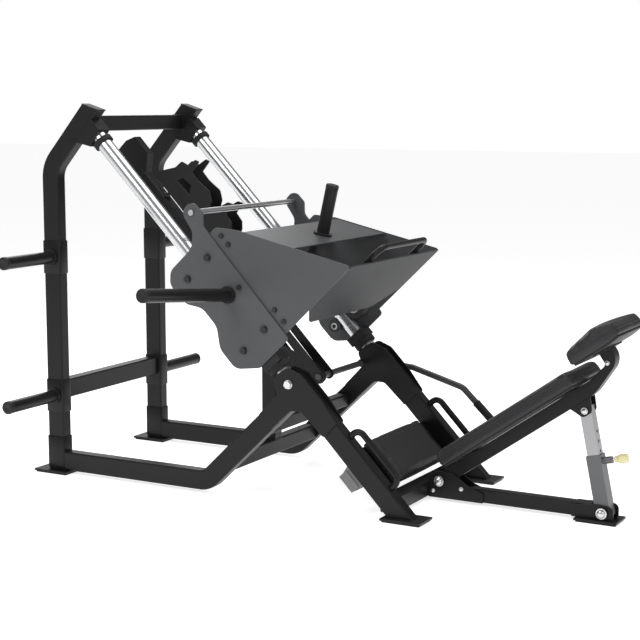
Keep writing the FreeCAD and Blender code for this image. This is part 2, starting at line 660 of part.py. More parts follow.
def bentRod(label, points, bend, radius, place, hollow=0):
    """Round bar through points in the XZ plane, every inner corner an arc of one radius."""
    path = []
    start = Vector(points[0][0], 0, points[0][1])
    for before, corner, after in zip(points, points[1:], points[2:]):
        b, c, a = (Vector(p[0], 0, p[1]) for p in (before, corner, after))
        u, w = (b - c).normalize(), (a - c).normalize()
        half = u.getAngle(w) / 2
        reach = bend / math.tan(half)
        middle = c + (u + w).normalize() * (bend / math.sin(half) - bend)
        path.append(Part.LineSegment(start, c + u * reach).toShape())
        path.append(Part.Arc(c + u * reach, middle, c + w * reach).toShape())
        start = c + w * reach
    end = Vector(points[-1][0], 0, points[-1][1])
    path.append(Part.LineSegment(start, end).toShape())
    first = Vector(points[0][0], 0, points[0][1])
    along = Vector(points[1][0], 0, points[1][1]) - first
    ring = Part.Wire(Part.makeCircle(radius, first, along))
    bar = doc.addObject("Part::Feature", label)
    bar.Shape = Part.Wire(path).makePipeShell([ring], True, False)
    bar.Placement = place
    return keep(bar, label)


handleUp = size("footTop") + 62
loopFrame = railFrame * Placement(Vector(-size("footFace") - size("footThick") - 14, 0, 0), Rotation(Vector(0, 0, 1), 90))
handleBar = bentRod("footplateHandleBar", [(-195, size("footTop") - 60), (-195, handleUp), (195, handleUp), (195, size("footTop") - 60)],
        35, 11, loopFrame)
handleTabs = []
for y in (-195, 195):
    tab = doc.addObject("Part::Box", "handleTab")
    tab.Length = 8
    tab.Width = 30
    tab.Height = 34
    tab.Placement = railFrame * Placement(Vector(-size("footFace") - size("footThick") - 8, y - 15,
                                                 size("footTop") - 56), Rotation())
    handleTabs.append(tab)
nodes.remove(handleBar)
fused("footplate_handle", [handleBar] + handleTabs)

# ---- Safety lever: hooked rack, cross shaft and hand lever ---------------------------------------
shaftU, shaftV = size("shaftPlace"), size("shaftUp")
shaftRadius = size("shaftRadius")
bushRadius = shaftRadius + size("bushGap")
rackY = size("spineWidth") / 2 + 13
hookTop = size("rackTop")
secondHook = size("crossRodPlace") + 32
firstHook = secondHook + size("hookPitch")
armLow, armHigh = shaftV - 4, shaftV + 20
rackOutline = [(-shaftU + 20, shaftV - 20), (-shaftU + 20, shaftV + 20), (-1290, armHigh), (-1322, 40),
               (-1345, 62), (-secondHook + 6, 66), (-secondHook, hookTop), (-secondHook - 22, hookTop - 14),
               (-secondHook - 52, 6), (-secondHook - 75, 52), (-secondHook - 110, 72), (-firstHook + 50, 62),
               (-firstHook + 6, 64), (-firstHook, hookTop), (-firstHook - 18, hookTop - 8), (-firstHook - 26, 70),
               (-firstHook - 58, 58), (-firstHook - 62, 20), (-firstHook - 112, -60), (-firstHook - 90, armLow - 14),
               (-1330, armLow - 14), (-1270, armLow)]
rackRadii = [18, 18, 60, 16, 10, 4, 5, 8, 14, 16, 20, 16, 4, 5, 6, 10, 8, 20, 10, 8, 50, 60]
rackWindow = [(-firstHook + 62, -8), (-firstHook + 40, 26), (-firstHook - 8, 18), (-firstHook - 22, -14)]
rackPlates = []
for y in (-rackY, rackY):
    rack = plate("rackPlate", rackOutline, "sizes.rackThick", rackRadii, windows=[rackWindow],
                 holes=[(-shaftU, shaftV, shaftRadius)], place=beside(y, railFrame))
    nodes.remove(rack)
    rackPlates.append(rack)
spacers = [cylinder("rackSpacer", 7, 2 * rackY - size("rackThick"),
                    alongY(-u, -rackY + size("rackThick") / 2, size("spineTop") + 14, railFrame)) for u in (1000, 1400, 1640)]
group("stop_rack", rackPlates + spacers)
rest = doc.addObject("Part::Box", "rackRest")
rest.Length = 60
rest.Width = 30
rest.Height = 6.6
rest.Placement = railFrame * Placement(Vector(-1430, -15, size("spineTop")), Rotation())
keep(rest, "rack_rest_pad")

leverY = halfSpacing + size("leverBeyond")
shaftStart = -rackY - 12
shaftBar = cylinder("shaftBar", "sizes.shaftRadius", leverY + 8 - shaftStart,
                    alongY(-shaftU, shaftStart, shaftV, railFrame))

leverFrame = beside(leverY, railFrame)
boss = cylinder("leverBoss", 22, 16, alongY(-shaftU, leverY - 8, shaftV, railFrame))
leverBar = bentRod("leverBar", [(-shaftU + 18, shaftV + 8), (-516, 60), (-316, 176), (-132, 184)], 60,
                   size("handleRadius"), leverFrame)
nodes.remove(leverBar)
fused("safety_lever", [shaftBar, boss, leverBar])

gripSleeve = doc.addObject("Part::Feature", "gripSleeve")
gripWay = Vector(184, 0, 8).normalize()
gripFrom = Vector(-132, 0, 184) - gripWay * 104
grip = Part.makeCylinder(size("gripRadius"), 110, gripFrom, gripWay)
grip = grip.makeFillet(4, [e for e in grip.Edges if e.Closed])
gripSleeve.Shape = grip.cut(Part.makeCylinder(size("handleRadius"), 104.2, gripFrom - gripWay * 0.1, gripWay))
gripSleeve.Placement = leverFrame
keep(gripSleeve, "lever_grip")

bearing = plate("leverBearing", [(-shaftU + 24, shaftV - 22), (-shaftU + 24, shaftV + 22), (-700, shaftV + 22),
                                  (-880, size("spineTop") - 6), (-880, size("spineTop") - 54),
                                  (-760, size("spineTop") - 54)], 6, [22, 22, 20, 6, 6, 20],
                holes=[(-shaftU, shaftV, shaftHole)], place=beside(-size("spineWidth") / 2 - 3, railFrame))
bushings = []
for y, length in ((-size("spineWidth") / 2 - 6, 6), (halfSpacing - halfWidth - apexPlate, apexPlate),
                  (halfSpacing + halfWidth, apexPlate)):
    bush = doc.addObject("Part::Feature", "leverBush")
    ring = Part.makeCylinder(shaftHole, length, Vector(0, y, 0), Vector(0, 1, 0))
    bush.Shape = ring.cut(Part.makeCylinder(bushRadius, length + 2, Vector(0, y - 1, 0), Vector(0, 1, 0)))
    bush.Placement = railFrame * Placement(Vector(-shaftU, 0, shaftV), Rotation())
    bushings.append(bush)
nodes.remove(bearing)
group("lever_bearings", bushings + [bearing])

# ---- Backrest ------------------------------------------------------------------------------------
pivot = Vector(size("backPivotX"), 0, size("backPivotZ"))
backTurn = Rotation(Vector(0, 1, 0), -size("backAngle"))
backFrame = Placement(pivot, backTurn)
backHalf = size("backDepth") / 2
padLow = backHalf + 4
headStart = size("padEnd") + 12
pinRadius = size("pivotPin")
bore = pinRadius + size("pinGap")
backWidth = size("backWidth")

spineTube = [(-28, -backHalf), (700, -backHalf), (842, 32), (842, 84), (792, 84), (792, 42),
             (706, backHalf), (-28, backHalf)]
backTube = plate("backTube", spineTube, "sizes.backWidth", [24, 150, 60, 4, 4, 14, 100, 24],
                 holes=[(0, 0, bore)], place=backFrame)
nodes.remove(backTube)
backHollow = doc.addObject("Part::Box", "backHollow")
backHollow.Length = 610
backHollow.Width = backWidth - 6
backHollow.Height = size("backDepth") - 6
backHollow.Placement = backFrame * Placement(Vector(60, -backWidth / 2 + 3, -backHalf + 3), Rotation())
strutTop = (size("strutTopAlong"), -size("strutTopUnder"))
ears = []
strutHalf = size("strutInner") / 2
for side in (-1, 1):
    ear = plate("strutEar", [(strutTop[0] - 44, -backHalf), (strutTop[0] - 20, strutTop[1] - 18),
                             (strutTop[0] + 20, strutTop[1] - 18), (strutTop[0] + 44, -backHalf)], 5,
                [0, 18, 18, 0], holes=[(*strutTop, 8)],
                place=backFrame * Placement(Vector(0, side * (strutHalf + 3), 0), Rotation()))
    nodes.remove(ear)
    ears.append(ear)
mounts = []
for along, width in ((150, 240), (620, 240), (820, 200)):
    strap = doc.addObject("Part::Box", "padStrap")
    strap.Length = 50
    strap.Width = width
    strap.Height = 4
    high = backHalf if along < 700 else 84
    strap.Placement = backFrame * Placement(Vector(along - 25, -width / 2, high), Rotation())
    mounts.append(strap)
solidBack = doc.addObject("Part::Cut", "backTubeHollow")
solidBack.Base = backTube
solidBack.Tool = backHollow
topPin = cylinder("strutTopPin", 8, 2 * strutHalf + 20, alongY(strutTop[0], -strutHalf - 10, strutTop[1], backFrame))
fused("back_frame", [solidBack] + ears + mounts + [topPin])


def cushion(label, corners, width, radii, place):
    """Plain closed block for an upholstered pad, all its edges eased."""
    body = newBody(label, place)
    sketch = newSketch(body, label + "Side")
    drawOutline(sketch, corners)
    solid = pad(body, sketch, label + "Pad", width)
    for radius in sorted(set(radii), reverse=True):
        picked = [c for c, r in zip(corners, radii) if r == radius]
        solid = roundEdges(body, solid, f"{label}Round{int(radius)}", radius, lambda e: atCorner(e, picked))
    return body


padTop = padLow + size("padThick")
cushion("back_pad", [(size("padStart"), padLow), (size("padEnd"), padLow), (size("padEnd"), padTop),
                     (size("padStart"), padTop)], "sizes.padWidth", [8, 8, 20, 20], backFrame)
cushion("head_pad", [(headStart, 89), (880, 89), (946, 97), (938, 160), (862, 178), (headStart, 152)],
        "sizes.headWidth", [8, 30, 16, 18, 40, 18], backFrame)

cheeks = []
legBarX, legBarZ = 370, floorTop + 30
for side in (-1, 1):
    cheek = plate("cheek", [(legBarX + 30, floorTop), (620, floorTop), (620, 50), (560, floorTop + size("baseDepth") + 6),
                            (500, 112), (430, 116), (legBarX + 30, 98)], 6, [4, 4, 8, 20, 30, 30, 8],
                  holes=[(pivot.x, pivot.z, pinRadius)], place=beside(side * (size("spineWidth") / 2 + 3)))
    nodes.remove(cheek)
    cheeks.append(cheek)
lowMembers.append(crossTube("legMember", legBarX, legBarZ, inside, 60, 60))
for member in lowMembers:
    nodes.remove(member)
group("lower_crossmembers", lowMembers)
baseMid = floorTop + size("baseDepth") / 2
straightTube("base_beam", size("baseStart"), size("baseEnd"), size("baseDepth"), size("spineWidth"),
             Placement(Vector(0, 0, baseMid), Rotation()))

strutFoot = Vector(size("strutFootX"), 0, baseMid)
outerHalf = size("strutOuter") / 2
forks = []
for side in (-1, 1):
    fork = plate("fork", [(size("baseEnd") - 70, floorTop), (strutFoot.x + 40, floorTop), (strutFoot.x + 40, baseMid + 24),
                          (strutFoot.x - 24, baseMid + 28), (size("baseEnd") - 70, baseMid + 20)], 6, [4, 10, 22, 22, 8],
                 holes=[(strutFoot.x, strutFoot.z, 11)], place=beside(side * (outerHalf + 0.6 + 3)))
    nodes.remove(fork)
    forks.append(fork)
fillers = []
for side in (-1, 1):
    filler = doc.addObject("Part::Box", "forkFiller")
    gap = outerHalf + 0.6 - size("spineWidth") / 2
    filler.Length = 50
    filler.Width = gap
    filler.Height = size("baseDepth")
    y = size("spineWidth") / 2 if side > 0 else -size("spineWidth") / 2 - gap
    filler.Placement = Placement(Vector(size("baseEnd") - 65, y, floorTop), Rotation())
    fillers.append(filler)
group("base_beam_plates", cheeks + forks + fillers)
pins = [cylinder("backPin", "sizes.pivotPin", 80, alongY(pivot.x, -40, pivot.z)),
        cylinder("strutPin", 11, 86, alongY(strutFoot.x, -43, strutFoot.z))]
group("pivot_pins", pins)

# ---- Strut ---------------------------------------------------------------------------------------
strutHead = backFrame.multVec(Vector(strutTop[0], 0, strutTop[1]))
lean = math.degrees(math.atan2(strutHead.x - strutFoot.x, strutHead.z - strutFoot.z))
strutLength = (strutHead - strutFoot).Length
strutFrame = Placement(strutFoot, Rotation(Vector(0, 1, 0), lean))
sleeveTop = size("strutSleeve")


def box(name, x, y, z, place=None):
    """Box centred on Z axis of its frame, from z[0] to z[1]."""
    item = doc.addObject("Part::Box", name)
    item.Length = 2 * x
    item.Width = 2 * y
    item.Height = z[1] - z[0]
    item.Placement = (place or Placement()) * Placement(Vector(-x, -y, z[0]), Rotation())
    return item


def pinHole(name, x, z, radius, reach, axis="y"):
    turn = Rotation(Vector(1, 0, 0), -90) if axis == "y" else Rotation(Vector(0, 1, 0), 90)
    start = Vector(x, -reach, z) if axis == "y" else Vector(x, 0, z)
    return cylinder(name, radius, 2 * reach, strutFrame * Placement(start, turn))


innerHalf = size("strutInner") / 2
sleeveInner = innerHalf + size("strutGap")
sleeveBody = box("sleeveBody", outerHalf, outerHalf, (-16, sleeveTop), strutFrame)
sleeveBore = box("sleeveBore", sleeveInner, sleeveInner, (30, sleeveTop + 5), strutFrame)
footBore = pinHole("footBore", 0, 0, 11 + size("pinGap"), 60)
popHeight = sleeveTop - 24
popBore = pinHole("popBore", 10, popHeight, size("popPin") + size("pinGap"), 40, "x")
housing = cylinder("popHousing", 13, 34, strutFrame * Placement(Vector(outerHalf, 0, popHeight), Rotation(Vector(0, 1, 0), 90)))
sleeveSolid = doc.addObject("Part::MultiFuse", "sleeveSolid")
sleeveSolid.Shapes = [sleeveBody, housing]
sleeveTools = doc.addObject("Part::MultiFuse", "sleeveTools")
sleeveTools.Shapes = [sleeveBore, footBore, popBore]
cutFrom("strut_sleeve", sleeveSolid, sleeveTools)

postLow = size("postLow")
reclined = Placement(pivot, Rotation(Vector(0, 1, 0), size("recline") - size("backAngle")))
shortLength = (reclined.multVec(Vector(strutTop[0], 0, strutTop[1])) - strutFoot).Length
holePitch = (strutLength - shortLength) / 3
postBody = box("postBody", innerHalf, innerHalf, (postLow, strutLength + 15), strutFrame)
postHollow = box("postHollow", innerHalf - 3, innerHalf - 3, (postLow - 10, strutLength - 22), strutFrame)
pinHoles = [pinHole("postHole", 10, popHeight + i * holePitch, size("popPin") + 0.6, 20, "x") for i in range(4)]
eye = pinHole("postEye", 0, strutLength, 8 + size("openGap"), 40)
postTools = doc.addObject("Part::MultiFuse", "postTools")
postTools.Shapes = [postHollow, eye] + pinHoles
cutFrom("strut_post", postBody, postTools)

popReach = size("popReach")
pinTip = innerHalf + 0.5
neckStart = outerHalf + 36 + size("popTravel")
stem = cylinder("popStem", "sizes.popPin", popReach - 26 - pinTip,
                strutFrame * Placement(Vector(pinTip, 0, popHeight), Rotation(Vector(0, 1, 0), 90)))
knobFrame = strutFrame * Placement(Vector(neckStart, 0, popHeight), Rotation(Vector(0, 1, 0), 90))
knobLength = popReach + outerHalf - neckStart - 12
head = Part.makeCylinder(17, knobLength, Vector(0, 0, 12))
head = head.makeFillet(4, [e for e in head.Edges if e.Closed])
neck = Part.makeCylinder(12, 13)
knob = doc.addObject("Part::Feature", "popKnob")
knob.Shape = head.fuse(neck)
knob.Placement = knobFrame
fused("pop_pin", [stem, knob])

# ---- Seat, storage horns, feet and trim ----------------------------------------------------------
seatLow, seatHigh = size("seatLow"), size("seatHigh")
board = doc.addObject("Part::Box", "seatBoard")
board.Length = seatHigh - seatLow - 20
board.Width = inside
board.Height = 8
board.Placement = railFrame * Placement(Vector(-seatHigh + 10, -inside / 2, -24), Rotation())
keep(board, "seat_board")
cushion("seat_pad", [(-seatHigh, -16), (-seatLow, -16), (-seatLow, -16 + size("seatThick")),
                     (-seatHigh, -16 + size("seatThick"))], "sizes.seatWidth", [8, 8, 22, 22], railFrame)

horns = []
for side in (-1, 1):
    for z in (872, 316):
        start = Placement(Vector(size("uprightX"), side * (halfSpacing + halfWidth), z),
                          Rotation(Vector(1, 0, 0), -side * 90))
        horn = doc.addObject("Part::MultiFuse", "storeHorn")
        horn.Shapes = [cylinder("storeStem", "sizes.hornRadius", size("storeHorn"), start),
                       cylinder("storeCollar", 32, 14, start)]
        horns.append(horn)
group("storage_horns", horns)

footLength, footWidth = size("footLength"), size("footWidth")
legFootX = size("railFootX") + 20
footSpots = [(size("uprightX") - halfDepth - size("footBehind") + footLength / 2, halfSpacing), (legFootX, halfSpacing),
             (size("strutFootX") - 20, 0)]
footPlates, padBlocks = [], []
for x, y in footSpots:
    for side in ((-1, 1) if y else (1,)):
        spot = Placement(Vector(x, side * y, 0), Rotation())
        plateBox = box("footPlate", footLength / 2, footWidth / 2, (size("footPad"), floorTop), spot)
        footPlates.append(plateBox)
        padBlocks.append(box("floorPad", footLength / 2 - 6, footWidth / 2 - 6, (0, size("footPad")), spot))
group("foot_plates", footPlates)
group("floor_pads", padBlocks)

loopLow, loopHigh, loopTop = 108, 346, size("railLow") + halfDepth
loops = []
for side in (-1, 1):
    loop = bentRod("grabLoop", [(-loopHigh, loopTop), (-loopHigh, loopTop + 46), (-loopLow, loopTop + 46),
                                (-loopLow, loopTop)], 30, 12, beside(side * halfSpacing, railFrame))
    nodes.remove(loop)
    loops.append(loop)
group("grab_handles", loops)

holderTop = size("railLow") - halfDepth
tab = plate("holderTab", [(-272, holderTop), (-176, holderTop), (-190, holderTop - 52), (-258, holderTop - 52)], 5,
            [0, 0, 10, 10], place=beside(-halfSpacing - 18, railFrame))
nodes.remove(tab)
blank = doc.addObject("Part::Box", "holderBlank")
blank.Length = 74
blank.Width = 12
blank.Height = 36
blank.Placement = railFrame * Placement(Vector(-262, -halfSpacing - 20.5 - 12, holderTop - 46), Rotation())
group("card_holder", [tab, blank])

frameBolts = [bolt("apexBolt", -riser - 38, side * (halfSpacing + halfWidth + apexPlate), 0, apexBolt, apexPlate, side,
                   railFrame)
              for side in (-1, 1)]
group("apex_bolts", frameBolts)

# ---- Check every solid and write the files -------------------------------------------------------
doc.recompute()
for item in doc.Objects:
    if "Invalid" in item.State or "Error" in item.State:
        raise RuntimeError(f"{item.Label} did not build: {item.State}")
os.makedirs("parts", exist_ok=True)
for item in nodes:
    if item.Shape.isNull() or not item.Shape.isValid():
        raise RuntimeError(f"{item.Label} has no valid shape")
    item.Shape.exportStep(f"parts/{item.Label}.step")
print(len(nodes), "nodes written")
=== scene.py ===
import json
import math

import bmesh
import bpy
from mathutils import Matrix, Vector


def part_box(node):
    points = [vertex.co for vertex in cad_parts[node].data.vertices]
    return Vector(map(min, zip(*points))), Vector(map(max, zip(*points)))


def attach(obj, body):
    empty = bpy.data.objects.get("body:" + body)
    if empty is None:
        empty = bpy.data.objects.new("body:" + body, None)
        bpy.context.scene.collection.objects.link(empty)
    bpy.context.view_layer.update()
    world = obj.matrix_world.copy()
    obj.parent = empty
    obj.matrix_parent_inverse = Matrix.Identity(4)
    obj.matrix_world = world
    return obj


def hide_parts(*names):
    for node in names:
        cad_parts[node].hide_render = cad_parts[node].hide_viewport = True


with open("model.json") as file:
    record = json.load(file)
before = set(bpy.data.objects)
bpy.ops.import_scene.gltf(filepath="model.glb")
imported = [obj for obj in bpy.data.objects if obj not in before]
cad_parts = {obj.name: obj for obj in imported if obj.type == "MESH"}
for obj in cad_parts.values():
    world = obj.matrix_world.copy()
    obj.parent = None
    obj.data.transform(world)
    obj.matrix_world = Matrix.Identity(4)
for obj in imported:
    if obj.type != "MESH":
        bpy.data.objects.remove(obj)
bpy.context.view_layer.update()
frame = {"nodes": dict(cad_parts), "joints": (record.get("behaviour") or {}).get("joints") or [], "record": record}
scene = bpy.context.scene
nodes = frame["nodes"]
print("frame loaded:", len(nodes), "CAD nodes")

# shader groups that several finishes share


def newGroup(name, inputs, outputs):
    tree = bpy.data.node_groups.new(name, "ShaderNodeTree")
    for label, value in inputs.items():
        socket = tree.interface.new_socket(label, in_out="INPUT", socket_type="NodeSocketFloat")
        socket.default_value = value
    for label, kind in outputs.items():
        tree.interface.new_socket(label, in_out="OUTPUT", socket_type=kind)
    return tree, tree.nodes.new("NodeGroupInput"), tree.nodes.new("NodeGroupOutput")


def mathNode(tree, operation, first, second, clamp=False):
    node = tree.nodes.new("ShaderNodeMath")
    node.operation = operation
    node.use_clamp = clamp
    for socket, value in zip(node.inputs, (first, second)):
        if isinstance(value, (int, float)):
            socket.default_value = value
        else:
            tree.links.new(value, socket)
    return node.outputs[0]


def noiseNode(tree, where, scale, detail=4.0, roughness=0.55):
    node = tree.nodes.new("ShaderNodeTexNoise")
    node.inputs["Detail"].default_value = detail
    node.inputs["Roughness"].default_value = roughness
    tree.links.new(where, node.inputs["Vector"])
    if isinstance(scale, (int, float)):
        node.inputs["Scale"].default_value = scale
    else:
        tree.links.new(scale, node.inputs["Scale"])
    return node.outputs["Fac"]


def edgeRubGroup():
    # softened edges, and a mask where corners have been rubbed
    tree, enter, leave = newGroup("edgeRub", {"Radius": 0.0015, "Amount": 0.5},
                                  {"Normal": "NodeSocketVector", "Rub": "NodeSocketFloat"})
    soft = tree.nodes.new("ShaderNodeBevel")
    soft.samples = 4
    tree.links.new(enter.outputs["Radius"], soft.inputs["Radius"])
    true = tree.nodes.new("ShaderNodeNewGeometry")
    dot = tree.nodes.new("ShaderNodeVectorMath")
    dot.operation = "DOT_PRODUCT"
    tree.links.new(soft.outputs["Normal"], dot.inputs[0])
    tree.links.new(true.outputs["Normal"], dot.inputs[1])
    bent = mathNode(tree, "SUBTRACT", 1.0, dot.outputs["Value"])
    place = tree.nodes.new("ShaderNodeTexCoord").outputs["Object"]
    patches = noiseNode(tree, place, 38.0)
    patchy = mathNode(tree, "MULTIPLY", bent, mathNode(tree, "MULTIPLY", patches, 9.0))
    rub = mathNode(tree, "MULTIPLY", patchy, enter.outputs["Amount"], clamp=True)
    tree.links.new(soft.outputs["Normal"], leave.inputs["Normal"])
    tree.links.new(rub, leave.inputs["Rub"])
    return tree


def coatGrainGroup():
    # slow tone drift, fine orange peel, and roughness that varies with both
    tree, enter, leave = newGroup("coatGrain", {"Fine scale": 900.0, "Roughness": 0.4, "Spread": 0.12},
                                  {"Tone": "NodeSocketFloat", "Roughness": "NodeSocketFloat",
                                   "Height": "NodeSocketFloat"})
    place = tree.nodes.new("ShaderNodeTexCoord").outputs["Object"]
    slow = noiseNode(tree, place, 3.2, 5.0)
    smear = noiseNode(tree, place, 24.0, 6.0, 0.7)
    fine = noiseNode(tree, place, enter.outputs["Fine scale"], 2.0)
    both = mathNode(tree, "MULTIPLY", mathNode(tree, "ADD", slow, smear), 0.5)
    centred = mathNode(tree, "SUBTRACT", both, 0.5)
    spread = mathNode(tree, "MULTIPLY", enter.outputs["Spread"], 2.0)
    swing = mathNode(tree, "MULTIPLY", centred, spread)
    rough = mathNode(tree, "ADD", enter.outputs["Roughness"], swing, clamp=True)
    tree.links.new(both, leave.inputs["Tone"])
    tree.links.new(rough, leave.inputs["Roughness"])
    tree.links.new(fine, leave.inputs["Height"])
    return tree


def floorDustGroup():
    # thin dust that settles on upward faces
    tree, enter, leave = newGroup("floorDust", {"Amount": 0.1}, {"Dust": "NodeSocketFloat"})
    true = tree.nodes.new("ShaderNodeNewGeometry")
    parts = tree.nodes.new("ShaderNodeSeparateXYZ")
    tree.links.new(true.outputs["Normal"], parts.inputs[0])
    place = tree.nodes.new("ShaderNodeTexCoord").outputs["Object"]
    patches = noiseNode(tree, place, 11.0, 6.0, 0.65)
    up = mathNode(tree, "SUBTRACT", parts.outputs["Z"], 0.45, clamp=True)
    thick = mathNode(tree, "MULTIPLY", up, patches)
    dusted = mathNode(tree, "MULTIPLY", thick, enter.outputs["Amount"], clamp=True)
    tree.links.new(dusted, leave.inputs["Dust"])
    return tree


edgeRub = edgeRubGroup()
coatGrain = coatGrainGroup()
floorDust = floorDustGroup()


def useGroup(tree, group, **values):
    node = tree.nodes.new("ShaderNodeGroup")
    node.node_tree = group
    for label, value in values.items():
        node.inputs[label.replace("_", " ")].default_value = value
    return node


def blendColours(tree, factor, first, second):
    node = tree.nodes.new("ShaderNodeMix")
    node.data_type = "RGBA"
    tree.links.new(factor, node.inputs["Factor"])
    for socket, value in ((node.inputs["A"], first), (node.inputs["B"], second)):
        if isinstance(value, tuple):
            socket.default_value = (*value, 1.0)
        else:
            tree.links.new(value, socket)
    return node.outputs["Result"]


def stippleHeight(tree, scale):
    # small raised cells, for vinyl grain and the rough coat
    place = tree.nodes.new("ShaderNodeTexCoord").outputs["Object"]
    cells = tree.nodes.new("ShaderNodeTexVoronoi")
    cells.feature = "DISTANCE_TO_EDGE"
    cells.inputs["Scale"].default_value = scale
    tree.links.new(place, cells.inputs["Vector"])
    domes = mathNode(tree, "MULTIPLY", cells.outputs["Distance"], 2.2, clamp=True)
    return mathNode(tree, "POWER", domes, 0.6)


finishes = {
    "frame_black": dict(dark=(0.006, 0.006, 0.0065), light=(0.012, 0.012, 0.0125), rough=0.36, spread=0.10,
                        fine=1100, bump=0.05, rub=0.35, bare=(0.06, 0.06, 0.063), edge=0.0022, dust=0.05,
                        shine=0.22),
    "rack_black": dict(dark=(0.008, 0.008, 0.0085), light=(0.014, 0.014, 0.0145), rough=0.40, spread=0.10,
                       fine=1000, bump=0.05, rub=0.55, bare=(0.16, 0.16, 0.165), edge=0.0012, dust=0.05,
                       shine=0.25),
    "horn_black": dict(dark=(0.007, 0.007, 0.007), light=(0.013, 0.013, 0.0135), rough=0.34, spread=0.14,
                       fine=700, bump=0.05, rub=0.4, bare=(0.12, 0.12, 0.12), edge=0.0015, dust=0.05,
                       shine=0.25),
    "sled_grey": dict(dark=(0.062, 0.063, 0.066), light=(0.084, 0.086, 0.090), rough=0.40, spread=0.09,
                      fine=1200, bump=0.05, rub=0.3, bare=(0.34, 0.34, 0.35), edge=0.0012, dust=0.04,
                      shine=0.3),
    "foot_grey": dict(dark=(0.030, 0.031, 0.033), light=(0.044, 0.045, 0.048), rough=0.58, spread=0.10,
                      fine=500, bump=0.18, rub=0.3, bare=(0.22, 0.22, 0.23), edge=0.0015, dust=0.08,
                      cells=420, shine=0.2),
    "rod_chrome": dict(dark=(0.56, 0.57, 0.58), light=(0.68, 0.69, 0.70), rough=0.24, spread=0.05,
                       fine=300, bump=0.01, rub=0.0, edge=0.0010, dust=0.0, metal=1.0),
    "steel_light": dict(dark=(0.48, 0.48, 0.49), light=(0.62, 0.62, 0.63), rough=0.30, spread=0.10,
                        fine=800, bump=0.03, rub=0.0, edge=0.0010, dust=0.0, metal=1.0),
    "zinc": dict(dark=(0.58, 0.58, 0.60), light=(0.74, 0.74, 0.74), rough=0.30, spread=0.14,
                 fine=900, bump=0.03, rub=0.0, edge=0.0008, dust=0.0, metal=1.0),
    "rubber": dict(dark=(0.012, 0.012, 0.012), light=(0.022, 0.022, 0.022), rough=0.78, spread=0.10,
                   fine=1400, bump=0.12, rub=0.2, bare=(0.05, 0.05, 0.05), edge=0.0010, dust=0.25,
                   shine=0.2),
    "plastic_black": dict(dark=(0.013, 0.013, 0.014), light=(0.021, 0.021, 0.022), rough=0.50, spread=0.08,
                          fine=1800, bump=0.08, rub=0.2, bare=(0.06, 0.06, 0.06), edge=0.0015, dust=0.12,
                          shine=0.25),
    "roller_nylon": dict(dark=(0.016, 0.016, 0.017), light=(0.034, 0.034, 0.035), rough=0.42, spread=0.12,
                         fine=700, bump=0.04, rub=0.3, bare=(0.12, 0.12, 0.12), edge=0.0012, dust=0.05),
    "sleeve_grey": dict(dark=(0.085, 0.086, 0.090), light=(0.12, 0.122, 0.126), rough=0.38, spread=0.10,
                        fine=1100, bump=0.05, rub=0.4, bare=(0.42, 0.42, 0.43), edge=0.0014, dust=0.08),
    "vinyl": dict(dark=(0.016, 0.016, 0.0175), light=(0.027, 0.027, 0.029), rough=0.46, spread=0.12,
                  fine=1500, bump=0.24, rub=0.25, bare=(0.07, 0.07, 0.075), edge=0.0020, dust=0.06,
                  cells=620, shine=0.3),
    "knob_yellow": dict(dark=(0.66, 0.60, 0.30), light=(0.78, 0.74, 0.44), rough=0.30, spread=0.10,
                        fine=600, bump=0.03, rub=0.3, bare=(0.8, 0.78, 0.6), edge=0.0012, dust=0.0),
    "bolt_black": dict(dark=(0.012, 0.012, 0.013), light=(0.024, 0.024, 0.025), rough=0.38, spread=0.12,
                       fine=1200, bump=0.04, rub=0.6, bare=(0.20, 0.20, 0.20), edge=0.0007, dust=0.03,
                       shine=0.35),
    "post_chrome": dict(dark=(0.30, 0.30, 0.31), light=(0.38, 0.38, 0.39), rough=0.34, spread=0.04,
                        fine=500, bump=0.02, rub=0.0, edge=0.0010, dust=0.0, metal=1.0),
    "lever_grey": dict(dark=(0.050, 0.051, 0.054), light=(0.080, 0.081, 0.085), rough=0.32, spread=0.12,
                       fine=900, bump=0.04, rub=0.4, bare=(0.30, 0.30, 0.31), edge=0.0012, dust=0.03,
                       shine=0.35),
    "card_grey": dict(dark=(0.16, 0.16, 0.16), light=(0.22, 0.22, 0.22), rough=0.48, spread=0.10,
                      fine=900, bump=0.06, rub=0.2, bare=(0.6, 0.6, 0.6), edge=0.0010, dust=0.06,
                      shine=0.3),
}
dustColour = (0.42, 0.41, 0.39)
bumpDepth = 0.0006


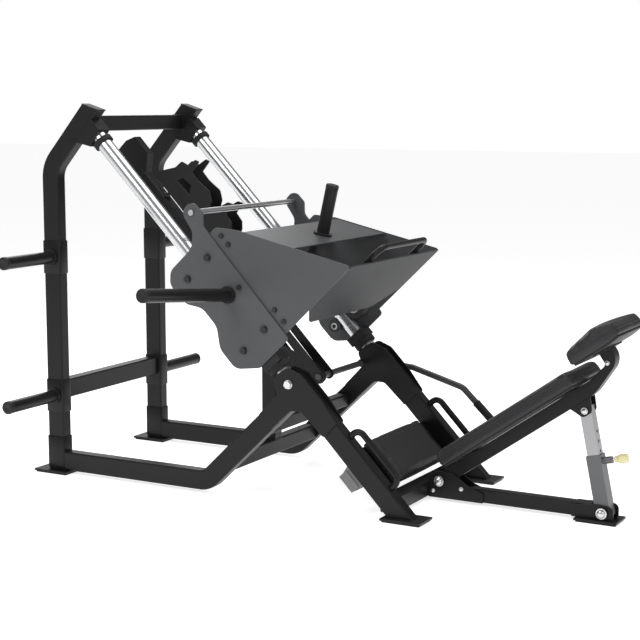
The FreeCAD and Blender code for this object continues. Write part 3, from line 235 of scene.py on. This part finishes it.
def makeFinish(name, look):
    material = bpy.data.materials.new(name)
    material.use_nodes = True
    tree = material.node_tree
    shader = tree.nodes["Principled BSDF"]
    edges = useGroup(tree, edgeRub, Radius=look["edge"], Amount=look["rub"])
    grain = useGroup(tree, coatGrain, Fine_scale=look["fine"], Roughness=look["rough"],
                     Spread=look["spread"])
    dust = useGroup(tree, floorDust, Amount=look["dust"])
    colour = blendColours(tree, grain.outputs["Tone"], look["dark"], look["light"])
    if look["rub"] > 0:
        colour = blendColours(tree, edges.outputs["Rub"], colour, look["bare"])
    if look["dust"] > 0:
        colour = blendColours(tree, dust.outputs["Dust"], colour, dustColour)
    tree.links.new(colour, shader.inputs["Base Color"])
    tree.links.new(grain.outputs["Roughness"], shader.inputs["Roughness"])
    height = grain.outputs["Height"]
    if "cells" in look:
        height = mathNode(tree, "MULTIPLY", height, 0.3)
        height = mathNode(tree, "ADD", height, stippleHeight(tree, look["cells"]))
    bump = tree.nodes.new("ShaderNodeBump")
    bump.inputs["Strength"].default_value = look["bump"]
    bump.inputs["Distance"].default_value = bumpDepth
    tree.links.new(height, bump.inputs["Height"])
    tree.links.new(edges.outputs["Normal"], bump.inputs["Normal"])
    tree.links.new(bump.outputs["Normal"], shader.inputs["Normal"])
    shader.inputs["Metallic"].default_value = look.get("metal", 0.0)
    shader.inputs["Specular IOR Level"].default_value = look.get("shine", 0.5)
    return material


materials = {name: makeFinish(name, look) for name, look in finishes.items()}
slotOf = {entry["node"]: entry["material_slot"] for entry in frame["record"]["subparts"]}
for nodeName, node in nodes.items():
    node.data.materials.clear()
    node.data.materials.append(materials[slotOf[nodeName]])
print("finishes made:", len(materials))


def shown(mesh, name, body, slotName, smooth=35):
    # a finished piece at the origin, shaded, on its body
    piece = bpy.data.objects.new(name, mesh)
    scene.collection.objects.link(piece)
    mesh.materials.clear()
    mesh.materials.append(materials[slotName])
    mesh.set_sharp_from_angle(angle=math.radians(smooth))
    for face in mesh.polygons:
        face.use_smooth = True
    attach(piece, body)
    return piece


def meshFrom(bm, name):
    bmesh.ops.remove_doubles(bm, verts=bm.verts, dist=0.00001)
    bmesh.ops.recalc_face_normals(bm, faces=bm.faces)
    mesh = bpy.data.meshes.new(name)
    bm.to_mesh(mesh)
    bm.free()
    return mesh


def lathe(bm, profile, place, steps=32):
    # (radius, height) pairs turned about Z and placed; the tag marks shapes made before this one
    verts = [bm.verts.new((radius, 0, height)) for radius, height in profile]
    edges = [bm.edges.new(pair) for pair in zip(verts, verts[1:])]
    bmesh.ops.spin(bm, geom=verts + edges, axis=(0, 0, 1), cent=(0, 0, 0), angle=2 * math.pi,
                   steps=steps, use_merge=True)
    made = [v for v in bm.verts if not v.tag]
    bmesh.ops.remove_doubles(bm, verts=made, dist=0.000001)
    made = [v for v in bm.verts if not v.tag]
    bmesh.ops.transform(bm, matrix=place, verts=made)
    for vert in made:
        vert.tag = True


def aim(direction, origin):
    # frame whose Z runs along direction
    turn = Vector((0, 0, 1)).rotation_difference(Vector(direction).normalized())
    return Matrix.Translation(origin) @ turn.to_matrix().to_4x4()


rails = dict(angle=math.radians(46), footX=0.434, spacing=0.340)
railTurn = Matrix.Rotation(rails["angle"], 4, "Y")
railFrame = Matrix.Translation((rails["footX"], 0, 0)) @ railTurn


def onRail(up, y, high):
    # up along the rails, across, and square off the rails
    return railFrame @ Vector((-up, y, high))


backrest = dict(pivot=(0.446, 0, 0.080), angle=math.radians(35))
backFrame = Matrix.Translation(backrest["pivot"]) @ Matrix.Rotation(-backrest["angle"], 4, "Y")

# covers and boards: side outlines in metres, on the frame each one lies on
pads = {
    "backCushion": dict(node="back_pad", body="backrest", place=backFrame, width=0.322,
                        voxel=0.006, swell=0.006, seam=0.062,
                        profile=[(0.098, 0.036), (0.704, 0.036), (0.704, 0.086), (0.098, 0.086)],
                        board=[(0.108, 0.0292), (0.694, 0.0292), (0.694, 0.040), (0.108, 0.040)]),
    "headCushion": dict(node="head_pad", body="backrest", place=backFrame, width=0.292,
                        voxel=0.005, swell=0.005, seam=0.122,
                        profile=[(0.725, 0.096), (0.879, 0.096), (0.938, 0.103), (0.930, 0.152),
                                 (0.860, 0.169), (0.728, 0.144)],
                        board=[(0.735, 0.0892), (0.880, 0.0892), (0.928, 0.0952), (0.926, 0.106),
                               (0.878, 0.100), (0.735, 0.100)]),
    "seatCushion": dict(node="seat_pad", body="root", place=railFrame, width=0.412,
                        voxel=0.006, swell=0.006, seam=0.016,
                        profile=[(-0.318, -0.010), (-0.128, -0.010), (-0.128, 0.038), (-0.318, 0.038)],
                        board=[(-0.310, -0.0158), (-0.136, -0.0158), (-0.136, -0.006), (-0.310, -0.006)]),
}
foam = dict(ease=0.008, heldBand=0.006, pressure=4, quality=4, tension=40, bending=6, frames=20, settles=3)
backBoard = dict(narrower=0.020, ease=0.002)
sewing = dict(welt=0.0022, weltPitch=0.006, rowGap=0.006, pitch=0.0055, stitch=0.0034, thread=0.0006)


def slab(profile, width, place, ease, segments):
    # side outline drawn across the width, every edge eased
    bm = bmesh.new()
    outline = [bm.verts.new((x, -width / 2, z)) for x, z in profile]
    face = bm.faces.new(outline)
    grown = bmesh.ops.extrude_face_region(bm, geom=[face])
    lifted = [v for v in grown["geom"] if isinstance(v, bmesh.types.BMVert)]
    bmesh.ops.translate(bm, verts=lifted, vec=(0, width, 0))
    bmesh.ops.bevel(bm, geom=bm.edges[:], offset=ease, segments=segments, profile=0.5, affect="EDGES",
                    material=-1)
    bmesh.ops.transform(bm, matrix=place, verts=bm.verts)
    return bm


def puff(piece, pad):
    # inflate the cover a little over its foam, with the underside held flat
    down = pad["place"].inverted()
    start = [v.co.copy() for v in piece.data.vertices]
    low = min((down @ co).z for co in start)
    held = piece.vertex_groups.new(name="held")
    held.add([i for i, co in enumerate(start) if (down @ co).z < low + foam["heldBand"]], 1.0, "REPLACE")
    cloth = piece.modifiers.new("cover", "CLOTH")
    cloth.settings.quality = foam["quality"]
    cloth.settings.vertex_group_mass = "held"
    cloth.settings.tension_stiffness = foam["tension"]
    cloth.settings.bending_stiffness = foam["bending"]
    cloth.settings.use_pressure = True
    cloth.settings.uniform_pressure_force = foam["pressure"]
    cloth.settings.effector_weights.gravity = 0
    for moment in range(1, foam["frames"] + 1):
        scene.frame_set(moment)
    ready = piece.evaluated_get(bpy.context.evaluated_depsgraph_get())
    moved = [v.co.copy() for v in ready.data.vertices]
    piece.modifiers.remove(cloth)
    scene.frame_set(1)
    for vert, before, after in zip(piece.data.vertices, start, moved):
        step = after - before
        if step.length > pad["swell"]:
            step = step.normalized() * pad["swell"]
        vert.co = before + step


def seamLoop(piece, pad, height):
    # points round the cushion where a plane at one height cuts it
    bm = bmesh.new()
    bm.from_mesh(piece.data)
    level = pad["place"] @ Vector((0, 0, height))
    normal = (pad["place"].to_3x3() @ Vector((0, 0, 1))).normalized()
    bmesh.ops.bisect_plane(bm, geom=bm.verts[:] + bm.edges[:] + bm.faces[:], plane_co=level,
                           plane_no=normal, clear_inner=True, clear_outer=True)
    bm.verts.ensure_lookup_table()
    loop = [bm.verts[0]]
    while True:
        near = [e.other_vert(loop[-1]) for e in loop[-1].link_edges]
        ahead = [v for v in near if v not in loop[-2:] and v is not loop[0]]
        if not ahead or len(loop) > len(bm.verts):
            break
        loop.append(ahead[0])
    points = [v.co.copy() for v in loop]
    bm.free()
    return points


def evenly(points, pitch):
    # the same closed loop with evenly spaced points
    closed = points + [points[0]]
    spaced, left = [], 0.0
    for a, b in zip(closed, closed[1:]):
        length = (b - a).length
        while left < length:
            spaced.append(a.lerp(b, left / length))
            left += pitch
        left -= length
    return spaced


def tubeLoop(name, points, radius, body, slotName):
    # closed round welt through points
    curve = bpy.data.curves.new(name, "CURVE")
    curve.dimensions = "3D"
    spline = curve.splines.new("POLY")
    spline.points.add(len(points) - 1)
    for target, co in zip(spline.points, points):
        target.co = (*co, 1)
    spline.use_cyclic_u = True
    curve.bevel_depth = radius
    curve.bevel_resolution = 2
    holder = bpy.data.objects.new(name + "Line", curve)
    scene.collection.objects.link(holder)
    mesh = bpy.data.meshes.new_from_object(holder.evaluated_get(bpy.context.evaluated_depsgraph_get()))
    bpy.data.objects.remove(holder)
    bm = bmesh.new()
    bm.from_mesh(mesh)
    return shown(meshFrom(bm, name), name, body, slotName)


def stitches(name, points, length, thick, body, slotName):
    # one small flattened bead for each stitch along a loop
    bm = bmesh.new()
    for here, there in zip(points, points[1:] + points[:1]):
        way = there - here
        if way.length < 0.0005:
            continue
        made = bmesh.ops.create_cone(bm, cap_ends=True, cap_tris=False, segments=6, radius1=thick,
                                     radius2=thick, depth=length)
        bmesh.ops.transform(bm, matrix=aim(way, here), verts=made["verts"])
    return shown(meshFrom(bm, name), name, body, slotName)


for name, pad in pads.items():
    shape = slab(pad["profile"], pad["width"], pad["place"], foam["ease"], 3)
    cushion = bpy.data.objects.new(name, meshFrom(shape, name))
    scene.collection.objects.link(cushion)
    remesh = cushion.modifiers.new("even", "REMESH")
    remesh.mode = "VOXEL"
    remesh.voxel_size = pad["voxel"]
    even = bpy.data.meshes.new_from_object(cushion.evaluated_get(bpy.context.evaluated_depsgraph_get()))
    cushion.modifiers.clear()
    cushion.data = even
    puff(cushion, pad)
    finished = bmesh.new()
    finished.from_mesh(cushion.data)
    for settle in range(foam["settles"]):
        bmesh.ops.smooth_vert(finished, verts=finished.verts, factor=0.5, use_axis_x=True,
                              use_axis_y=True, use_axis_z=True)
    bmesh.ops.recalc_face_normals(finished, faces=finished.faces)
    finished.to_mesh(cushion.data)
    finished.free()
    welt = evenly(seamLoop(cushion, pad, pad["seam"]), sewing["weltPitch"])
    tubeLoop(name + "Welt", welt, sewing["welt"], pad["body"], "vinyl")
    for side, lift in (("Upper", sewing["rowGap"]), ("Lower", -sewing["rowGap"])):
        row = evenly(seamLoop(cushion, pad, pad["seam"] + lift), sewing["pitch"])
        stitches(name + side + "Stitch", row, sewing["stitch"], sewing["thread"], pad["body"], "vinyl")
    cushion.modifiers.new("smooth", "SUBSURF").levels = 1
    cushion.modifiers["smooth"].render_levels = 1
    finalMesh = bpy.data.meshes.new_from_object(cushion.evaluated_get(bpy.context.evaluated_depsgraph_get()))
    bpy.data.objects.remove(cushion)
    cover = shown(finalMesh, name, pad["body"], "vinyl", smooth=80)
    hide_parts(pad["node"])
    board = slab(pad["board"], pad["width"] - backBoard["narrower"], pad["place"], backBoard["ease"], 2)
    shown(meshFrom(board, name + "Board"), name + "Board", pad["body"], "plastic_black")
print("upholstery done:", len(pads), "cushions")

lever = dict(body="lever", end=(-0.132, 0.416, 0.184), way=(0.184, 0, 0.008), ridges=14, length=0.112,
             radius=0.0162, bore=0.0126, over=0.104)


def ribbed(length, inner, outer, ridges):
    # lathe outline of a closed-end rubber grip with rings along it
    outline = [(inner, 0.0), (outer - 0.002, 0.0), (outer, 0.002)]
    pitch = (length - 0.024) / ridges
    for i in range(ridges):
        z = 0.010 + i * pitch
        outline += [(outer, z), (outer - 0.0011, z + pitch * 0.25), (outer - 0.0011, z + pitch * 0.6),
                    (outer, z + pitch * 0.85)]
    return outline + [(outer + 0.001, length - 0.010), (outer, length - 0.003), (outer * 0.6, length),
                      (0.0, length)]


gripWay = (railTurn.to_3x3() @ Vector(lever["way"])).normalized()
gripEnd = railFrame @ Vector(lever["end"])
grip = bmesh.new()
lathe(grip, ribbed(lever["length"], lever["bore"], lever["radius"], lever["ridges"]),
      aim(gripWay, gripEnd - gripWay * lever["over"]))
gripPiece = shown(meshFrom(grip, "leverGrip"), "leverGrip", lever["body"], "rubber")
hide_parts("lever_grip")

strut = dict(foot=Vector((1.075, 0, 0.039)), lean=math.radians(-11.7647), pinUp=0.181)
strutFrame = Matrix.Translation(strut["foot"]) @ Matrix.Rotation(strut["lean"], 4, "Y")
pinFrame = strutFrame @ Matrix.Translation((0, 0, strut["pinUp"])) @ Matrix.Rotation(math.pi / 2, 4, "Y")
popPin = dict(tip=0.0225, nose=0.0035, radius=0.005, end=0.0705)
pin = bmesh.new()
lathe(pin, [(0.0, popPin["tip"]), (popPin["nose"], popPin["tip"]), (popPin["radius"], popPin["tip"] + 0.0015),
            (popPin["radius"], popPin["end"]), (0.0, popPin["end"])], pinFrame, 24)
shown(meshFrom(pin, "popPinStem"), "popPinStem", "pop_pin", "steel_light")
knob = bmesh.new()
lathe(knob, [(0.0, 0.0702), (0.0115, 0.0702), (0.0120, 0.0712), (0.0115, 0.0800), (0.0150, 0.0845),
             (0.0170, 0.0890), (0.0172, 0.0960), (0.0166, 0.1020), (0.0172, 0.1080), (0.0168, 0.1140),
             (0.0150, 0.1166), (0.0100, 0.1176), (0.0, 0.1178)], pinFrame, 40)
knobPiece = shown(meshFrom(knob, "popPinKnob"), "popPinKnob", "pop_pin", "knob_yellow")
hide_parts("pop_pin")

horns = dict(radius=0.0245, capOver=0.0006, capDeep=0.016, capProud=0.0025)
storageHorns = dict(x=-1.091, tip=0.655, heights=(0.872, 0.316))
sledHorns = dict(up=1.037, high=0.041, root=0.389, reach=0.540, tilt=math.radians(6))
deck = dict(up=1.180, high=0.236, rise=0.262, run=0.403, hornTip=(0.150, 0, 0.192))


def hornCap(bm, tip, way):
    # moulded cap pressed on the end of a plate horn
    r = horns["radius"] + horns["capOver"]
    deep, proud = horns["capDeep"], horns["capProud"]
    lathe(bm, [(r - 0.0005, -deep), (r, -deep + 0.001), (r, -0.002), (r - 0.0018, proud * 0.6),
               (r - 0.0045, proud), (0.009, proud), (0.007, 0.0012), (0.0, 0.0008)], aim(way, tip), 40)


storageCaps = bmesh.new()
for side in (-1, 1):
    for z in storageHorns["heights"]:
        hornCap(storageCaps, Vector((storageHorns["x"], side * storageHorns["tip"], z)), (0, side, 0))
shown(meshFrom(storageCaps, "storageHornCaps"), "storageHornCaps", "root", "plastic_black")

sledCaps = bmesh.new()
for side in (-1, 1):
    way = Vector((0, side * math.cos(sledHorns["tilt"]), math.sin(sledHorns["tilt"])))
    root = onRail(sledHorns["up"], side * sledHorns["root"], sledHorns["high"])
    hornCap(sledCaps, root + way * sledHorns["reach"], way)
deckTilt = math.atan2(deck["rise"], deck["run"])
deckFrame = (railFrame @ Matrix.Translation((-deck["up"], 0, deck["high"]))
             @ Matrix.Rotation(-deckTilt, 4, "Y"))
hornCap(sledCaps, deckFrame @ Vector(deck["hornTip"]), deckFrame.to_3x3() @ Vector((0, 0, 1)))
shown(meshFrom(sledCaps, "sledHornCaps"), "sledHornCaps", "sled", "plastic_black")
print("grips, knob and caps done")


def weldBead(bm, points, radius, pitch=0.0026):
    # rippled bead along a run of points
    run = []
    for a, b in zip(points, points[1:]):
        count = max(2, round((b - a).length / pitch))
        run += [a.lerp(b, i / count) for i in range(count)]
    run.append(points[-1])
    ring = None
    for i, here in enumerate(run):
        way = (run[min(i + 1, len(run) - 1)] - run[max(i - 1, 0)]).normalized()
        swell = radius * (1.0 if i % 2 else 0.86) * (0.6 if i in (0, len(run) - 1) else 1.0)
        made = bmesh.ops.create_circle(bm, cap_ends=i in (0, len(run) - 1), segments=8, radius=swell)
        bmesh.ops.transform(bm, matrix=aim(way, here), verts=made["verts"])
        edges = list({e for v in made["verts"] for e in v.link_edges
                      if all(w in made["verts"] for w in e.verts)})
        if ring:
            bmesh.ops.bridge_loops(bm, edges=ring + edges)
        ring = edges


def saddle(bm, middle, halfX, halfY, high):
    # pressed plate wrapped round an upright behind a plate horn
    place = Matrix.Translation(middle) @ Matrix.Diagonal((2 * halfX, 2 * halfY, high, 1))
    made = bmesh.ops.create_cube(bm, size=1, matrix=place)["verts"]
    caps = [f for f in {f for v in made for f in v.link_faces} if abs(f.normal.z) > 0.9]
    bmesh.ops.delete(bm, geom=caps, context="FACES_ONLY")
    upright = [e for e in {e for v in made for e in v.link_edges}
               if abs(e.verts[0].co.z - e.verts[1].co.z) > high / 2]
    bmesh.ops.bevel(bm, geom=upright, offset=saddles["corner"], segments=4, profile=0.5, affect="EDGES",
                    material=-1)


cornerOrder = ((0, 0), (1, 0), (1, 1), (0, 1), (0, 0))
welds = dict(bars=("rear_crossbar", "top_crossbeam"), radius=0.0024, inset=0.0012, postHalf=0.025, lift=0.001)
beads = bmesh.new()
for node in welds["bars"]:
    low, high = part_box(node)
    for side in (-1, 1):
        face = side * (high.y - welds["inset"])
        weldBead(beads, [Vector(((low.x, high.x)[i], face, (low.z, high.z)[j])) for i, j in cornerOrder],
                 welds["radius"])
low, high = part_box("centre_post")
widths = (-welds["postHalf"], welds["postHalf"])
weldBead(beads, [Vector(((low.x, high.x)[i], widths[j], low.z + welds["lift"])) for i, j in cornerOrder],
         welds["radius"])
shown(meshFrom(beads, "frameWelds"), "frameWelds", "root", "frame_black", smooth=60)

saddles = dict(x=storageHorns["x"], heights=(*storageHorns["heights"], 0.085), halfX=0.0382, halfY=0.0252,
               high=0.130, thick=0.0035, corner=0.008, edge=0.0012)
wraps = bmesh.new()
for side in (-1, 1):
    for z in saddles["heights"]:
        saddle(wraps, Vector((saddles["x"], side * rails["spacing"], z)), saddles["halfX"] + saddles["thick"],
               saddles["halfY"] + saddles["thick"], saddles["high"])
wrapPiece = shown(meshFrom(wraps, "uprightSaddles"), "uprightSaddles", "root", "frame_black")
thicken = wrapPiece.modifiers.new("wall", "SOLIDIFY")
thicken.thickness = saddles["thick"]
thicken.offset = -1
rounded = wrapPiece.modifiers.new("eased", "BEVEL")
rounded.width = saddles["edge"]
rounded.segments = 2
print("welds and saddles done")

# spots are x, z and reach from the middle; every nut is the same outline, scaled
domedNut = [(0.0195, 0.0), (0.0200, 0.0006), (0.0200, 0.0022), (0.0150, 0.0026), (0.0150, 0.0080),
            (0.0125, 0.0118), (0.0070, 0.0144), (0.0, 0.0152)]
nutSets = {
    "pivotNuts": dict(body="root", scale=1.0, spots=[(0.446, 0.080, 0.040), (1.075, 0.039, 0.043)]),
    "cheekBolts": dict(body="root", scale=0.42, spots=[(0.418, 0.040, 0.0311), (0.532, 0.058, 0.0311)]),
    "strutHeadNuts": dict(body="backrest", scale=0.62, spots=[(0.99992, 0.39950, 0.0321)]),
    "headBracketBolts": dict(body="backrest", scale=0.42, spots=[(1.0756, 0.5758, 0.0246)]),
}
for name, nutSet in nutSets.items():
    nuts = bmesh.new()
    for x, z, reach in nutSet["spots"]:
        for side in (-1, 1):
            lathe(nuts, [(r * nutSet["scale"], h * nutSet["scale"]) for r, h in domedNut],
                  aim((0, side, 0), (x, side * reach, z)))
    shown(meshFrom(nuts, name), name, nutSet["body"], "zinc")

seals = dict(bore=0.0085, face=0.0219, upper=0.024, lower=0.014)
for joint in frame["joints"]:
    if joint["child"].endswith("_roller"):
        x, y, z = joint["pos_m"]
        rim = seals["upper"] if "upper" in joint["child"] else seals["lower"]
        seal = bmesh.new()
        for side in (-1, 1):
            lathe(seal, [(seals["bore"], 0.0), (seals["bore"], 0.0010), (rim * 0.62, 0.0014),
                         (rim * 0.66, 0.0006), (rim * 0.94, 0.0009), (rim, 0.0)],
                  aim((0, side, 0), (x, y + side * seals["face"], z)))
        shown(meshFrom(seal, joint["child"] + "Seal"), joint["child"] + "Seal", joint["child"], "steel_light")

ridges = dict(count=6, size=(0.068, 0.005, 0.0032), first=-0.0145, pitch=0.0058, middle=(-0.225, 0, -0.052),
              sunk=0.001, edge=0.001)
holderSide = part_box("card_holder")[0].y + ridges["sunk"]
ridged = bmesh.new()
for i in range(ridges["count"]):
    made = bmesh.ops.create_cube(ridged, size=1)
    bmesh.ops.scale(ridged, vec=ridges["size"], verts=made["verts"])
    lift = ridges["first"] + i * ridges["pitch"]
    bmesh.ops.translate(ridged, vec=(0, holderSide, lift), verts=made["verts"])
bmesh.ops.bevel(ridged, geom=ridged.edges[:], offset=ridges["edge"], segments=2, profile=0.5, affect="EDGES",
                material=-1)
bmesh.ops.transform(ridged, matrix=railFrame @ Matrix.Translation(ridges["middle"]), verts=ridged.verts)
shown(meshFrom(ridged, "cardHolderRidges"), "cardHolderRidges", "root", "card_grey")
print("small fittings done")

paint = dict(half=40, tone=(0.90, 0.90, 0.90, 1), rough=0.9, shine=0.1, glow=0.72)
ground = bmesh.new()
bmesh.ops.create_grid(ground, x_segments=1, y_segments=1, size=paint["half"])
floorMesh = meshFrom(ground, "floor")
floor = bpy.data.objects.new("floor", floorMesh)
scene.collection.objects.link(floor)
floorFinish = bpy.data.materials.new("floorPaint")
floorFinish.use_nodes = True
floorShader = floorFinish.node_tree.nodes["Principled BSDF"]
floorShader.inputs["Base Color"].default_value = paint["tone"]
floorShader.inputs["Roughness"].default_value = paint["rough"]
floorShader.inputs["Specular IOR Level"].default_value = paint["shine"]
floorShader.inputs["Emission Color"].default_value = (1, 1, 1, 1)
floorShader.inputs["Emission Strength"].default_value = paint["glow"]
floorMesh.materials.append(floorFinish)

# the backdrop looks white to the camera but lights the machine only a little
backdrop = dict(seen=1.0, cast=0.26)
world = bpy.data.worlds.new("studio")
scene.world = world
world.use_nodes = True
worldTree = world.node_tree
glow = worldTree.nodes["Background"]
glow.inputs["Color"].default_value = (1, 1, 1, 1)
rays = worldTree.nodes.new("ShaderNodeLightPath")
strength = worldTree.nodes.new("ShaderNodeMapRange")
strength.inputs["To Min"].default_value = backdrop["cast"]
strength.inputs["To Max"].default_value = backdrop["seen"]
worldTree.links.new(rays.outputs["Is Camera Ray"], strength.inputs["Value"])
worldTree.links.new(strength.outputs["Result"], glow.inputs["Strength"])
scene.view_settings.view_transform = "Standard"

lookAt = Vector((0, 0, 0.6))  # where every light points
softboxes = {
    "keyBox": dict(place=(-1.5, -4.0, 4.2), energy=120, wide=2.6),
    "sideBox": dict(place=(4.2, -2.0, 2.6), energy=60, wide=2.2),
    "topBox": dict(place=(0.2, 0.8, 4.6), energy=90, wide=3.2),
    "backBox": dict(place=(-3.4, 3.4, 3.0), energy=50, wide=2.6),
}
for name, box in softboxes.items():
    light = bpy.data.lights.new(name, "AREA")
    light.energy = box["energy"]
    light.shape = "SQUARE"
    light.size = box["wide"]
    lamp = bpy.data.objects.new(name, light)
    scene.collection.objects.link(lamp)
    lamp.matrix_world = aim(Vector(box["place"]) - lookAt, box["place"])

viewpoint = dict(place=(2.6942, -5.0449, 1.4687), yaw=math.radians(28.82), down=math.radians(8.14),
                 lens=84.69, sensor=36)
lens = bpy.data.cameras.new("camera")
lens.lens = viewpoint["lens"]
lens.sensor_width = viewpoint["sensor"]
camera = bpy.data.objects.new("camera", lens)
scene.collection.objects.link(camera)
camera.location = viewpoint["place"]
camera.rotation_euler = (math.pi / 2 - viewpoint["down"], 0, viewpoint["yaw"])
scene.camera = camera
print("stage set")
